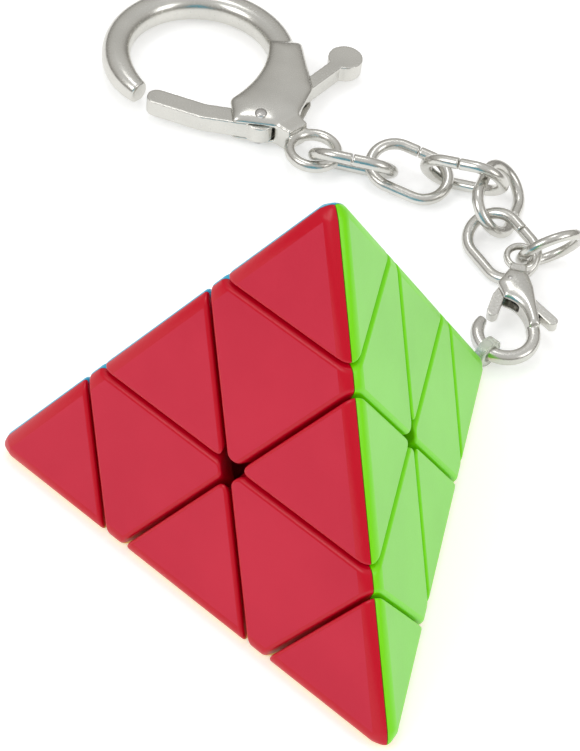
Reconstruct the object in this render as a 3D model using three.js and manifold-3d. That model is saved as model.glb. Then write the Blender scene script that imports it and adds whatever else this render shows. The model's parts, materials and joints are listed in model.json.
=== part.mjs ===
// Pyramid twisty puzzle on a keychain, lying on one face with its chain spread on the same surface.
// Millimetres, +Z up. The surface is z = 0, vertex a points up, and the origin is under the middle of
// the whole object. Vertices are named a, b, c and d, and a face is named after the vertex opposite it.
import * as THREE from 'three';
import { ConvexGeometry } from 'three/addons/geometries/ConvexGeometry.js';
import { mergeVertices } from 'three/addons/utils/BufferGeometryUtils.js';
import Module from 'manifold-3d';

const wasm = await Module();
wasm.setup();

// ---------------------------------------------------------------- driving dimensions

const EDGE = 48;                                  // edge of the sharp pyramid, before rounding
const HEIGHT = EDGE * Math.sqrt(2 / 3);
const FACE_DISTANCE = HEIGHT / 4;                 // puzzle centre to each face
const VERTEX_DISTANCE = 3 * FACE_DISTANCE;        // puzzle centre to each sharp vertex
const LAYER_CUT = 0.0876 * HEIGHT;                // puzzle centre to each layer's cut
const TIP_CUT = 0.429 * HEIGHT;                   // puzzle centre to each tip's cut
const EDGE_ROUNDING = 1.3;
const ROUNDING_STEPS = 3;
const TURN_GAP = 0.4;                             // between pieces that turn past each other
const SEAM = 0.1;                                 // between shells that are keyed together
const CENTRE_HOLE_RADIUS = 0.8;                   // where six pieces meet in the middle of a face

const CORE_RADIUS = 4.1;
const ARM_RADIUS = 1.4;
const ARM_END = 7;
const FOOT_INNER = 4.4;
const FOOT_OUTER = 7.2;
const FOOT_CAVITY = 7.5;
const FOOT_ANGLE = THREE.MathUtils.degToRad(68);  // half angle of the cone that each layer turns in
const HUB_ANGLE = THREE.MathUtils.degToRad(38);   // half angle of a centre piece's hub
const HUB_BORE = 1.75;
const FLOOR_START = 7.35;                         // floor that the spring presses on
const FLOOR_END = 8.3;
const WELL_RADIUS = 2.3;
const NECK_START = 15.5;                          // narrower mouth of the well
const NECK_RADIUS = 1.9;
const SCREW_RADIUS = 0.5;
const SCREW_START = 4.9;
const SCREW_BORE_GAP = 0.1;
const SCREW_END_ROOM = 0.3;
const SCREW_HEAD_RADIUS = 1.6;
const SCREW_HEAD_START = 11.6;
const SCREW_HEAD_END = 12.6;
const STUB_RADIUS = 1.6;
const STUB_START = 13.4;
const STUB_RIM_RADIUS = 2.1;
const STUB_RIM_END = 15.1;

const WIRE_RADIUS = 0.575;                        // chain link wire
const LINK_HALF_LENGTH = 3.9;                     // to the middle of the wire
const LINK_HALF_WIDTH = 2.5;
const RING_WIRE_RADIUS = 0.5;                     // jump ring wire
const RING_RADIUS = 3;
const BUTT_GAP = 0.12;                            // where a bent wire's two ends meet

const CORNERS = ['a', 'b', 'c', 'd'];
const BALL_DETAIL = 3;
const BORE_SIDES = 18;

// ---------------------------------------------------------------- directions

const azimuth = { b: Math.PI, c: -Math.PI / 3, d: Math.PI / 3 };
const baseRadius = EDGE / Math.sqrt(3);

function vertexAxis(name) {
  if (name === 'a') return new THREE.Vector3(0, 0, 1);
  const x = baseRadius * Math.cos(azimuth[name]);
  const y = baseRadius * Math.sin(azimuth[name]);
  return new THREE.Vector3(x, y, -FACE_DISTANCE).normalize();
}

const axis = Object.fromEntries(CORNERS.map((name) => [name, vertexAxis(name)]));

const others = (...names) => CORNERS.filter((name) => !names.includes(name));

// ---------------------------------------------------------------- solids

function solidOf(geometry) {
  const bare = geometry.clone();
  bare.deleteAttribute('normal');
  bare.deleteAttribute('uv');
  const merged = mergeVertices(bare, 1e-4);
  const vertProperties = Float32Array.from(merged.attributes.position.array);
  const triVerts = Uint32Array.from(merged.index.array);
  return new wasm.Manifold(new wasm.Mesh({ numProp: 3, vertProperties, triVerts }));
}

function geometryOf(solid) {
  const mesh = solid.getMesh();
  const geometry = new THREE.BufferGeometry();
  geometry.setAttribute('position', new THREE.BufferAttribute(mesh.vertProperties, 3));
  geometry.setIndex(new THREE.BufferAttribute(mesh.triVerts, 1));
  geometry.computeVertexNormals();
  return geometry;
}

const joined = (solids) => solids.reduce((sum, solid) => sum.add(solid));

// A half space is { normal, distance }: the points p with normal . p <= distance.
const below = (normal, distance) => ({ normal: normal.clone(), distance });
const above = (normal, distance) => ({ normal: normal.clone().negate(), distance: -distance });

function meetingPoint(p, q, r) {
  const qr = q.normal.clone().cross(r.normal);
  const determinant = p.normal.dot(qr);
  if (Math.abs(determinant) < 1e-6) return null;
  const point = qr.multiplyScalar(p.distance);
  point.addScaledVector(r.normal.clone().cross(p.normal), q.distance);
  point.addScaledVector(p.normal.clone().cross(q.normal), r.distance);
  return point.divideScalar(determinant);
}

// The convex solid that a list of half spaces encloses, from the corners where three of them meet.
function convexSolid(halfSpaces) {
  const corners = [];
  const tolerance = 1e-5;
  const keep = (point) => {
    const inside = halfSpaces.every(({ normal, distance }) => normal.dot(point) <= distance + tolerance);
    const known = corners.some((corner) => corner.distanceTo(point) < tolerance);
    if (inside && !known) corners.push(point);
  };
  for (let i = 0; i < halfSpaces.length; i += 1) {
    for (let j = i + 1; j < halfSpaces.length; j += 1) {
      for (let k = j + 1; k < halfSpaces.length; k += 1) {
        const point = meetingPoint(halfSpaces[i], halfSpaces[j], halfSpaces[k]);
        if (point) keep(point);
      }
    }
  }
  return solidOf(new ConvexGeometry(corners));
}

function ball(radius) {
  return solidOf(new THREE.IcosahedronGeometry(radius, BALL_DETAIL));
}

// A round rod along a direction from the origin, between two distances.
function rod(direction, radius, start, end, sides = BORE_SIDES) {
  const geometry = new THREE.CylinderGeometry(radius, radius, end - start, sides);
  const turn = new THREE.Quaternion().setFromUnitVectors(new THREE.Vector3(0, 1, 0), direction);
  geometry.translate(0, (start + end) / 2, 0);
  geometry.applyQuaternion(turn);
  return solidOf(geometry);
}

// A cone that opens outward along a direction, with its tip a little way along it.
function openCone(direction, halfAngle, tip = 0) {
  const length = FOOT_CAVITY + 1;
  const geometry = new THREE.ConeGeometry(length * Math.tan(halfAngle), length, 24);
  const turn = new THREE.Quaternion().setFromUnitVectors(new THREE.Vector3(0, -1, 0), direction);
  geometry.translate(0, -length / 2 - tip, 0);
  geometry.applyQuaternion(turn);
  return solidOf(geometry);
}

// ---------------------------------------------------------------- the puzzle, about its own centre

const faceSpaces = CORNERS.map((name) => below(axis[name].clone().negate(), FACE_DISTANCE));

// The pyramid with rounded edges and vertices: the hull of four balls.
function roundedPyramid() {
  const points = [];
  for (const vertex of CORNERS) {
    const centre = axis[vertex].clone().multiplyScalar(VERTEX_DISTANCE - 3 * EDGE_ROUNDING);
    const normals = others(vertex).map((name) => axis[name].clone().negate());
    const spread = [axis[vertex], ...normals];
    normals.forEach((normal, index) => {
      const next = normals[(index + 1) % normals.length];
      for (let step = 1; step < ROUNDING_STEPS; step += 1) {
        spread.push(normal.clone().lerp(next, step / ROUNDING_STEPS).normalize());
      }
    });
    points.push(...spread.map((normal) => centre.clone().addScaledVector(normal, EDGE_ROUNDING)));
  }
  return solidOf(new ConvexGeometry(points));
}

const pyramid = roundedPyramid();

// A third of the pyramid about a vertex's axis: the part whose shells show one face's colour.
function third(vertex, face) {
  const sides = others(vertex, face).map((name) => {
    const normal = axis[vertex].clone().cross(axis[name]).normalize();
    if (normal.dot(axis[face]) > 0) normal.negate();
    return above(normal, SEAM / 2);
  });
  return convexSolid([...faceSpaces, ...sides]);
}

// Half of an edge piece: the side that shows one face's colour.
function half(first, second, face) {
  const normal = axis[first].clone().cross(axis[second]).normalize();
  if (normal.dot(axis[face]) > 0) normal.negate();
  return convexSolid([...faceSpaces, above(normal, SEAM / 2)]);
}

const centreHoles = joined(CORNERS.map((name) => {
  const inward = axis[name].clone().negate();
  return rod(inward, CENTRE_HOLE_RADIUS, FOOT_CAVITY - 0.5, FACE_DISTANCE + 1, 12);
}));

function tip(vertex) {
  const cap = convexSolid([...faceSpaces, above(axis[vertex], TIP_CUT + TURN_GAP / 2)]);
  const stub = rod(axis[vertex], STUB_RADIUS, STUB_START, TIP_CUT + TURN_GAP);
  const rim = rod(axis[vertex], STUB_RIM_RADIUS, STUB_RIM_END - 0.7, STUB_RIM_END);
  return pyramid.intersect(cap).add(stub).add(rim);
}

function axial(vertex) {
  const outline = [
    ...faceSpaces,
    above(axis[vertex], LAYER_CUT + TURN_GAP / 2),
    below(axis[vertex], TIP_CUT - TURN_GAP / 2),
    ...others(vertex).map((name) => below(axis[name], LAYER_CUT - TURN_GAP / 2)),
  ];
  const hollow = ball(FOOT_CAVITY).subtract(openCone(axis[vertex], HUB_ANGLE)).add(ball(FOOT_INNER));
  const bores = joined([
    rod(axis[vertex], HUB_BORE, 0, FLOOR_START),
    rod(axis[vertex], SCREW_RADIUS + 0.35, 0, FLOOR_END + 1),
    rod(axis[vertex], WELL_RADIUS, FLOOR_END, NECK_START),
    rod(axis[vertex], NECK_RADIUS, NECK_START - 1, VERTEX_DISTANCE),
  ]);
  return pyramid.intersect(convexSolid(outline)).subtract(hollow).subtract(bores).subtract(centreHoles);
}

// The foot of an edge piece: part of a ball's shell, inside both of its own layers' cones and outside
// the other two, so that it hooks under the two centre pieces beside it.
function foot(first, second) {
  const shift = TURN_GAP / 2 / Math.sin(FOOT_ANGLE);
  const [third1, third2] = others(first, second);
  return ball(FOOT_OUTER)
    .intersect(openCone(axis[first], FOOT_ANGLE, shift))
    .intersect(openCone(axis[second], FOOT_ANGLE, shift))
    .subtract(openCone(axis[third1], FOOT_ANGLE, -shift))
    .subtract(openCone(axis[third2], FOOT_ANGLE, -shift))
    .subtract(ball(FOOT_INNER));
}

function edgePiece(first, second) {
  const outline = [
    ...faceSpaces,
    above(axis[first], LAYER_CUT + TURN_GAP / 2),
    above(axis[second], LAYER_CUT + TURN_GAP / 2),
  ];
  return pyramid.intersect(convexSolid(outline)).add(foot(first, second)).subtract(centreHoles);
}

function core() {
  const arms = CORNERS.map((name) => rod(axis[name], ARM_RADIUS, CORE_RADIUS - 1, ARM_END));
  const boreRadius = SCREW_RADIUS + SCREW_BORE_GAP;
  const boreStart = SCREW_START - SCREW_END_ROOM;
  const bores = CORNERS.map((name) => rod(axis[name], boreRadius, boreStart, ARM_END + 1, 12));
  return ball(CORE_RADIUS).add(joined(arms)).subtract(joined(bores));
}

function screw(vertex) {
  const shaft = rod(axis[vertex], SCREW_RADIUS, SCREW_START, SCREW_HEAD_START + 0.1, 12);
  const head = rod(axis[vertex], SCREW_HEAD_RADIUS, SCREW_HEAD_START, SCREW_HEAD_END, 16);
  const slotSizes = [[2.2, 0.4], [0.4, 2.2]];
  const slots = slotSizes.map(([width, depth]) => {
    const slot = new THREE.BoxGeometry(width, 1.2, depth);
    slot.translate(0, SCREW_HEAD_END + 0.1, 0);
    slot.applyQuaternion(new THREE.Quaternion().setFromUnitVectors(new THREE.Vector3(0, 1, 0), axis[vertex]));
    return solidOf(slot);
  });
  return shaft.add(head).subtract(joined(slots));
}

class Helix extends THREE.Curve {
  constructor(radius, start, rise, turns) {
    super();
    Object.assign(this, { radius, start, rise, turns });
  }

  getPoint(t, target = new THREE.Vector3()) {
    const angle = 2 * Math.PI * this.turns * t;
    const height = this.start + this.rise * t;
    return target.set(this.radius * Math.cos(angle), this.radius * Math.sin(angle), height);
  }
}

function circleShape(radius, sides) {
  const corners = Array.from({ length: sides }, (unused, index) => {
    const angle = 2 * Math.PI * index / sides;
    return new THREE.Vector2(radius * Math.cos(angle), radius * Math.sin(angle));
  });
  return new THREE.Shape(corners);
}

function wireAlong(curve, radius, steps, sides) {
  return new THREE.ExtrudeGeometry(circleShape(radius, sides), { extrudePath: curve, steps });
}

function coreSpring(vertex) {
  const coil = new Helix(1.25, FLOOR_END + 0.6, SCREW_HEAD_START - FLOOR_END - 1.2, 3);
  const geometry = wireAlong(coil, 0.25, 24, 5);
  const turn = new THREE.Quaternion().setFromUnitVectors(new THREE.Vector3(0, 0, 1), axis[vertex]);
  return geometry.applyQuaternion(turn);
}

// ---------------------------------------------------------------- eyelet in tip d

const outward = new THREE.Vector3(Math.cos(azimuth.d), Math.sin(azimuth.d), 0);
const sideways = outward.clone().cross(new THREE.Vector3(0, 0, 1));
const EYELET_SHANK_RADIUS = 0.75;
const EYELET_HEAD_RADIUS = 1.3;
const EYELET_HEAD_START = 18.4;
const EYELET_HEAD_END = 19.2;
const EYELET_SHANK_END = 25.9;
const EYELET_NECK_START = 24.6;
const EYELET_NECK_HALF = 0.65;
const EYELET_NECK_DROP = 0.45;                    // of the neck's middle below the hole's
const EYELET_BORE_RADIUS = 1.15;
const EYELET_THICKNESS = 1;
const EYELET_RING_RADIUS = 1.4;
const EYELET_HOLE_RADIUS = 0.8;
const EYELET_HOLE = { out: 26.65, up: 1.5 };      // from the puzzle's upright axis, and from the surface

// The room for the eyelet in the tip, about the puzzle's centre.
function eyeletRoom() {
  const bore = rod(axis.d, EYELET_BORE_RADIUS, EYELET_HEAD_END, VERTEX_DISTANCE);
  const pocket = rod(axis.d, EYELET_HEAD_RADIUS + 0.3, EYELET_HEAD_START - 0.3, EYELET_HEAD_END + 0.3);
  return bore.add(pocket);
}

// A headed shank along the vertex's axis, ending in an upright ring that the clasp's hook goes through.
function eyelet() {
  const ring = new THREE.Shape();
  const { out, up } = EYELET_HOLE;
  const neckMiddle = up - EYELET_NECK_DROP;
  const upper = Math.asin((EYELET_NECK_HALF - EYELET_NECK_DROP) / EYELET_RING_RADIUS);
  const lower = Math.asin((-EYELET_NECK_HALF - EYELET_NECK_DROP) / EYELET_RING_RADIUS);
  ring.moveTo(EYELET_NECK_START, neckMiddle - EYELET_NECK_HALF);
  ring.absarc(out, up, EYELET_RING_RADIUS, Math.PI - lower, 3 * Math.PI - upper, false);
  ring.lineTo(EYELET_NECK_START, neckMiddle + EYELET_NECK_HALF);
  ring.holes.push(new THREE.Path().absarc(out, up, EYELET_HOLE_RADIUS, 0, 2 * Math.PI));
  const extrusion = { depth: EYELET_THICKNESS, bevelEnabled: false, curveSegments: 10 };
  const plate = new THREE.ExtrudeGeometry(ring, extrusion);
  plate.translate(0, -FACE_DISTANCE, -EYELET_THICKNESS / 2);
  plate.applyMatrix4(new THREE.Matrix4().makeBasis(outward, new THREE.Vector3(0, 0, 1), sideways));
  const shank = rod(axis.d, EYELET_SHANK_RADIUS, EYELET_HEAD_START, EYELET_SHANK_END, 12);
  const head = rod(axis.d, EYELET_HEAD_RADIUS, EYELET_HEAD_START, EYELET_HEAD_END, 12);
  return solidOf(plate).add(shank).add(head);
}

// ---------------------------------------------------------------- wire rings and chain links

// An oval of bent wire in the XY plane, open by the butt gap: two half circles joined by straights.
class Oval extends THREE.Curve {
  constructor(halfLength, halfWidth) {
    super();
    this.radius = halfWidth;
    this.straight = halfLength - halfWidth;
    this.around = 4 * this.straight + 2 * Math.PI * halfWidth;
  }

  getPoint(t, target = new THREE.Vector3()) {
    const { radius, straight, around } = this;
    const bend = Math.PI * radius;
    const way = BUTT_GAP / 2 + t * (around - BUTT_GAP);
    if (way < straight) return target.set(way, radius, 0);
    if (way < straight + bend) {
      const angle = (way - straight) / radius;
      return target.set(straight + radius * Math.sin(angle), radius * Math.cos(angle), 0);
    }
    if (way < 3 * straight + bend) return target.set(2 * straight + bend - way, -radius, 0);
    if (way < 3 * straight + 2 * bend) {
      const angle = (way - 3 * straight - bend) / radius;
      return target.set(-straight - radius * Math.sin(angle), -radius * Math.cos(angle), 0);
    }
    return target.set(way - around, radius, 0);
  }
}

const linkWire = () => wireAlong(new Oval(LINK_HALF_LENGTH, LINK_HALF_WIDTH), WIRE_RADIUS, 22, 8);
const ringWire = () => wireAlong(new Oval(RING_RADIUS, RING_RADIUS), RING_WIRE_RADIUS, 20, 8);

// ---------------------------------------------------------------- lobster clasps

const NECK_OVERLAP = 0.3;                         // how far a clasp's neck reaches into its body
const SLOT_CLEARANCE = 0.3;                       // round the gate and lever in the body's slot
const GATE_TIP_GAP = 0.35;                        // beyond the hook's own half width
const GATE_TIP_SETBACK = 3;                       // degrees
const RIVET_PRESS_GAP = 0.06;                     // round the rivet in the cheeks
const RIVET_TURN_GAP = 0.12;                      // and in the gate's hub
const SPRING_WELL_GAP = 0.15;
const SPRING_WELL_FLOOR = -0.1;                   // height of the well's floor above the gate's middle

// A clasp lies in its own XY plane: the hook's circle is centred on the origin, the eye is on +Y, the
// gate is on -X and the thumb lever on +X.
const BIG_CLASP = {
  hookRadius: 8.35,
  hookHalfWidth: 1.45,
  hookHalfHeight: 1.5,
  hookTipAngle: 176,
  hookEndAngle: 400,
  bodyHalfHeight: 1.9,
  neckHalfWidth: 1.5,
  neckHalfHeight: 1.3,
  eyeDistance: 17,
  eyeRadius: 2.33,
  eyeHalfWidth: 0.55,
  eyeHalfHeight: 0.65,
  apex: [-2.6, 7.4],
  gateShoulder: [-4.5, 10],
  leverFlank: [9.0, 5.2],
  leverShoulder: [5.2, 11.2],
  openingBulge: [3.2, 6.9],
  openingEnd: [6.4, 3],
  pivot: [-1.9, 11.2],
  hubRadius: 1.55,
  rivetRadius: 0.6,
  leverHalfHeight: 0.9,
  slotHalfHeight: 1.2,
  gateHalfWidth: 1.05,
  gateBow: 0.7,
  leverEnd: [11.3, 9.2],
  leverHalfWidth: 0.9,
  leverPadRadius: 1.75,
  springRadius: 0.98,
  springWire: 0.13,
  openAngle: 18,
};

const SMALL_CLASP = {
  hookRadius: 2.6,
  hookHalfWidth: 0.66,
  hookHalfHeight: 0.7,
  hookTipAngle: 152,
  hookEndAngle: 390,
  bodyHalfHeight: 1.3,
  neckHalfWidth: 0.9,
  neckHalfHeight: 0.7,
  eyeDistance: 9.3,
  eyeRadius: 1.3,
  eyeHalfWidth: 0.33,
  eyeHalfHeight: 0.42,
  apex: [-0.8, 3.7],
  gateShoulder: [-1.7, 5.2],
  leverFlank: [3, 1.3],
  leverShoulder: [1.7, 5.6],
  openingBulge: [1.2, 3.6],
  openingEnd: [1.95, 0.9],
  pivot: [-0.5, 5.7],
  hubRadius: 0.95,
  rivetRadius: 0.35,
  leverHalfHeight: 0.55,
  slotHalfHeight: 0.75,
  gateHalfWidth: 0.55,
  gateBow: 0.3,
  leverEnd: [4, 2.3],
  leverHalfWidth: 0.5,
  leverPadRadius: 0.5,
  springRadius: 0.6,
  springWire: 0.08,
  openAngle: 18,
};

class Arc extends THREE.Curve {
  constructor(radius, startDegrees, endDegrees) {
    super();
    Object.assign(this, { radius, startDegrees, endDegrees });
  }

  getPoint(t, target = new THREE.Vector3()) {
    const angle = THREE.MathUtils.degToRad(THREE.MathUtils.lerp(this.startDegrees, this.endDegrees, t));
    return target.set(this.radius * Math.cos(angle), this.radius * Math.sin(angle), 0);
  }
}

// A flat plate of a 2-D outline, centred on z = 0.
function plate(shape, halfHeight, curveSegments = 6) {
  const extrusion = { depth: 2 * halfHeight, bevelEnabled: false, curveSegments };
  const geometry = new THREE.ExtrudeGeometry(shape, extrusion);
  geometry.translate(0, 0, -halfHeight);
  return solidOf(geometry);
}

function post(x, y, radius, bottom, top, sides = 16) {
  return rod(new THREE.Vector3(0, 0, 1), radius, bottom, top, sides).translate(x, y, 0);
}

// The straight bar with round ends between two points.
function bar(from, to, halfWidth, halfHeight) {
  const start = new THREE.Vector2(...from);
  const end = new THREE.Vector2(...to);
  const angle = end.clone().sub(start).angle();
  const shape = new THREE.Shape();
  shape.absarc(end.x, end.y, halfWidth, angle - Math.PI / 2, angle + Math.PI / 2, false);
  shape.absarc(start.x, start.y, halfWidth, angle + Math.PI / 2, angle + 3 * Math.PI / 2, false);
  return plate(shape, halfHeight);
}

const onCircle = (radius, degrees) => {
  const angle = THREE.MathUtils.degToRad(degrees);
  return [radius * Math.cos(angle), radius * Math.sin(angle)];
};

// The end of the gate, just short of the hook's tip.
function gateEnd(spec) {
  const gap = (spec.hookHalfWidth + GATE_TIP_GAP) / spec.hookRadius;
  return onCircle(spec.hookRadius, spec.hookTipAngle - THREE.MathUtils.radToDeg(gap) - GATE_TIP_SETBACK);
}

function hook(spec) {
  const section = new THREE.Shape();
  section.absellipse(0, 0, spec.hookHalfHeight, spec.hookHalfWidth, 0, 2 * Math.PI);
  const corners = section.getPoints(5).slice(0, -1);
  const path = new Arc(spec.hookRadius, spec.hookTipAngle, spec.hookEndAngle);
  return solidOf(new THREE.ExtrudeGeometry(new THREE.Shape(corners), { extrudePath: path, steps: 20 }));
}

// The closed eye ring, a lathe of a closed six-cornered section, turned to lie in the clasp's plane.
function eye(spec) {
  const { eyeRadius: r, eyeHalfWidth: w, eyeHalfHeight: h } = spec;
  const corners = [[-w, -h / 2], [0, -h], [w, -h / 2], [w, h / 2], [0, h], [-w, h / 2], [-w, -h / 2]];
  const section = corners.map(([x, y]) => [r + x, y]);
  const geometry = new THREE.LatheGeometry(section.map(([x, y]) => new THREE.Vector2(x, y)), 18);
  geometry.rotateX(Math.PI / 2);
  geometry.translate(0, spec.eyeDistance, 0);
  return solidOf(geometry);
}

function bodyOutline(spec) {
  const neckBase = spec.eyeDistance - spec.eyeRadius - spec.neckHalfWidth;
  const shape = new THREE.Shape();
  shape.moveTo(-spec.neckHalfWidth, neckBase);
  shape.lineTo(...spec.gateShoulder);
  shape.lineTo(...spec.apex);
  shape.quadraticCurveTo(...spec.openingBulge, ...spec.openingEnd);
  shape.lineTo(...spec.leverFlank);
  shape.lineTo(...spec.leverShoulder);
  shape.lineTo(spec.neckHalfWidth, neckBase);
  return shape;
}

// The slot between the body's two cheeks: the room that the lever sweeps as it opens.
function slot(spec) {
  const pivot = new THREE.Vector2(...spec.pivot);
  const reach = 2 * spec.hookRadius;
  const swing = THREE.MathUtils.degToRad(spec.openAngle);
  const sweep = (target, halfWidth) => {
    const side = halfWidth + SLOT_CLEARANCE;
    const from = new THREE.Vector2(...target).sub(pivot).angle();
    const corners = [[0, -side, 0], [reach, -side, 0], [reach, side, swing], [0, side, swing]];
    const shape = new THREE.Shape(corners.map(([x, y, turn]) => {
      return new THREE.Vector2(x, y).rotateAround(new THREE.Vector2(), from + turn).add(pivot);
    }));
    return plate(shape, spec.slotHalfHeight);
  };
  const h = spec.slotHalfHeight;
  const hub = post(pivot.x, pivot.y, spec.hubRadius + SLOT_CLEARANCE, -h, h);
  const gateRoom = sweep(gateEnd(spec), spec.gateHalfWidth + spec.gateBow);
  return hub.add(sweep(spec.leverEnd, spec.leverHalfWidth)).add(gateRoom);
}

function claspBody(spec) {
  const [x, y] = spec.pivot;
  const through = 2 * spec.bodyHalfHeight;
  const rivetHole = post(x, y, spec.rivetRadius + RIVET_PRESS_GAP, -through, through);
  const body = plate(bodyOutline(spec), spec.bodyHalfHeight).subtract(slot(spec)).subtract(rivetHole);
  const neckEnd = spec.eyeDistance - spec.eyeRadius;
  const neckLength = spec.neckHalfWidth + NECK_OVERLAP;
  const neck = new THREE.BoxGeometry(2 * spec.neckHalfWidth, neckLength, 2 * spec.neckHalfHeight);
  neck.translate(0, neckEnd - neckLength / 2, 0);
  return body.add(solidOf(neck)).add(hook(spec)).add(eye(spec));
}

function claspGate(spec) {
  const [x, y] = spec.pivot;
  const [endX, endY] = gateEnd(spec);
  const middle = [(x + endX) / 2 - spec.gateBow, (y + endY) / 2];
  const h = spec.leverHalfHeight;
  const parts = joined([
    post(x, y, spec.hubRadius, -h, h),
    bar(spec.pivot, middle, spec.gateHalfWidth, h),
    bar(middle, [endX, endY], spec.gateHalfWidth, h),
    bar(spec.pivot, spec.leverEnd, spec.leverHalfWidth, h),
    post(...spec.leverEnd, spec.leverPadRadius, -h, h, 12),
  ]);
  const well = post(x, y, spec.springRadius + spec.springWire + SPRING_WELL_GAP, SPRING_WELL_FLOOR, 2 * h);
  const bore = post(x, y, spec.rivetRadius + RIVET_TURN_GAP, -2 * h, 2 * h);
  return parts.subtract(well).subtract(bore);
}

function claspRivet(spec) {
  const [x, y] = spec.pivot;
  const reach = spec.bodyHalfHeight;
  return post(x, y, spec.rivetRadius, -reach, reach, 12);
}

function claspSpring(spec) {
  const [x, y] = spec.pivot;
  const rise = spec.leverHalfHeight + SPRING_WELL_FLOOR - 2 * spec.springWire;
  const coil = new Helix(spec.springRadius, spec.springWire, rise, 2);
  return wireAlong(coil, spec.springWire, 16, 5).translate(x, y, 0);
}

// ---------------------------------------------------------------- materials and nodes

const plastic = (color) => new THREE.MeshStandardMaterial({ color, roughness: 0.45, metalness: 0 });
const metal = (color, roughness) => new THREE.MeshStandardMaterial({ color, roughness, metalness: 1 });

const faceColour = { a: plastic(0xe0b418), b: plastic(0x86d957), c: plastic(0x69bed7), d: plastic(0xc22740) };
const corePlastic = plastic(0xd8d8d6);
const eyeletPlastic = plastic(0xd8ddcc);
eyeletPlastic.transparent = true;
eyeletPlastic.opacity = 0.6;
const nickel = metal(0xc9c8c2, 0.18);
const steel = metal(0xb4b4b6, 0.3);

const faceWord = { a: 'yellow', b: 'green', c: 'blue', d: 'red' };
const model = new THREE.Group();
const puzzle = new THREE.Group();
puzzle.position.z = FACE_DISTANCE;
model.add(puzzle);

function place(name, geometry, material, parent) {
  const mesh = new THREE.Mesh(geometry, material);
  mesh.name = name;
  parent.add(mesh);
  return mesh;
}

function addShells(kind, vertex, whole) {
  for (const face of others(vertex)) {
    const shell = whole.intersect(third(vertex, face));
    place(`${kind}_${vertex}_${faceWord[face]}_shell`, geometryOf(shell), faceColour[face], puzzle);
  }
}

function addPuzzle() {
  place('core', geometryOf(core()), corePlastic, puzzle);
  for (const vertex of CORNERS) {
    place(`core_screw_${vertex}`, geometryOf(screw(vertex)), steel, puzzle);
    place(`core_spring_${vertex}`, coreSpring(vertex), steel, puzzle);
    addShells('tip', vertex, vertex === 'd' ? tip(vertex).subtract(eyeletRoom()) : tip(vertex));
    addShells('centre', vertex, axial(vertex));
  }
  CORNERS.forEach((first, index) => {
    for (const second of CORNERS.slice(index + 1)) {
      const whole = edgePiece(first, second);
      for (const face of others(first, second)) {
        const name = `edge_${first}${second}_${faceWord[face]}_half`;
        place(name, geometryOf(whole.intersect(half(first, second, face))), faceColour[face], puzzle);
      }
    }
  });
  place('eyelet', geometryOf(eyelet()), eyeletPlastic, puzzle);
}

// A group whose local X, Y and Z point along an element's length, its width and its normal.
function elementGroup(centre, along, normal) {
  const x = new THREE.Vector3(...along).normalize();
  const n = new THREE.Vector3(...normal);
  const z = n.addScaledVector(x, -n.dot(x)).normalize();
  const group = new THREE.Group();
  group.quaternion.setFromRotationMatrix(new THREE.Matrix4().makeBasis(x, z.clone().cross(x), z));
  group.position.set(...centre);
  model.add(group);
  return group;
}

// Where each clasp lies: hook centre, and the direction from its gate side to its lever side. The big
// clasp lies the other way up, so its gate faces the front.
const SMALL_CLASP_LIES = { centre: [14.63, 25.33, 1.85], right: [0.9997, 0.025, 0], up: [0, -0.137, 0.99] };
const BIG_CLASP_LIES = { centre: [-21.2, 54.2, 1.95], right: [0.587, 0.81, 0], up: [0, 0, -1] };

function addClasp(prefix, spec, lies) {
  const group = elementGroup(lies.centre, lies.right, lies.up);
  place(`${prefix}_clasp_body`, geometryOf(claspBody(spec)), nickel, group);
  place(`${prefix}_clasp_gate`, geometryOf(claspGate(spec)), nickel, group);
  place(`${prefix}_clasp_rivet`, geometryOf(claspRivet(spec)), steel, group);
  place(`${prefix}_clasp_spring`, claspSpring(spec), steel, group);
}

// Each link's centre, the way it points, and the normal of its plane.
const LINKS = {
  chain_link_1: {
    centre: [-3.32, 43.05, 2.53],
    along: [1, 0.017, -0.014],
    normal: [0.004, -0.766, -0.643],
  },
  chain_link_2: {
    centre: [2.05, 44.35, 1.86],
    along: [0.978, -0.188, -0.088],
    normal: [0.033, -0.275, 0.961],
  },
  chain_link_3: {
    centre: [7.37, 44.12, 3.11],
    along: [0.968, -0.176, 0.18],
    normal: [-0.083, -0.898, -0.432],
  },
  chain_link_4: {
    centre: [11.07, 42.67, 2.4],
    along: [-0.116, -0.993, 0.016],
    normal: [0.699, -0.07, 0.712],
  },
  chain_link_5: {
    centre: [12.4, 36.93, 1.79],
    along: [0.701, -0.712, -0.048],
    normal: [-0.285, -0.341, 0.896],
  },
};
const JUMP_RING_LIES = {
  centre: [16.93, 36.45, 3.26],
  along: [0.795, 0.295, 0.531],
  normal: [-0.552, 0.716, 0.428],
};

function addChain() {
  addClasp('small', SMALL_CLASP, SMALL_CLASP_LIES);
  addClasp('big', BIG_CLASP, BIG_CLASP_LIES);
  const ring = elementGroup(JUMP_RING_LIES.centre, JUMP_RING_LIES.along, JUMP_RING_LIES.normal);
  place('jump_ring', ringWire(), nickel, ring);
  for (const [name, { centre, along, normal }] of Object.entries(LINKS)) {
    place(name, linkWire(), nickel, elementGroup(centre, along, normal));
  }
}

addPuzzle();
addChain();

// The origin goes under the middle of everything, on the surface.
const extent = new THREE.Box3().setFromObject(model, true);
const middle = extent.getCenter(new THREE.Vector3());
model.position.set(-middle.x, -middle.y, -extent.min.z);

export default model;
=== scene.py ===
"""Looks for the pyramid twisty puzzle on its key chain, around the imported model. Shapes are worked out in
millimetres about the puzzle's centre or a clasp's hook, and scaled to metres when they become objects."""
import json
from math import asin, atan2, cos, pi, radians, sin, sqrt, tan

import bmesh
import bpy
from mathutils import Matrix, Vector


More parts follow.
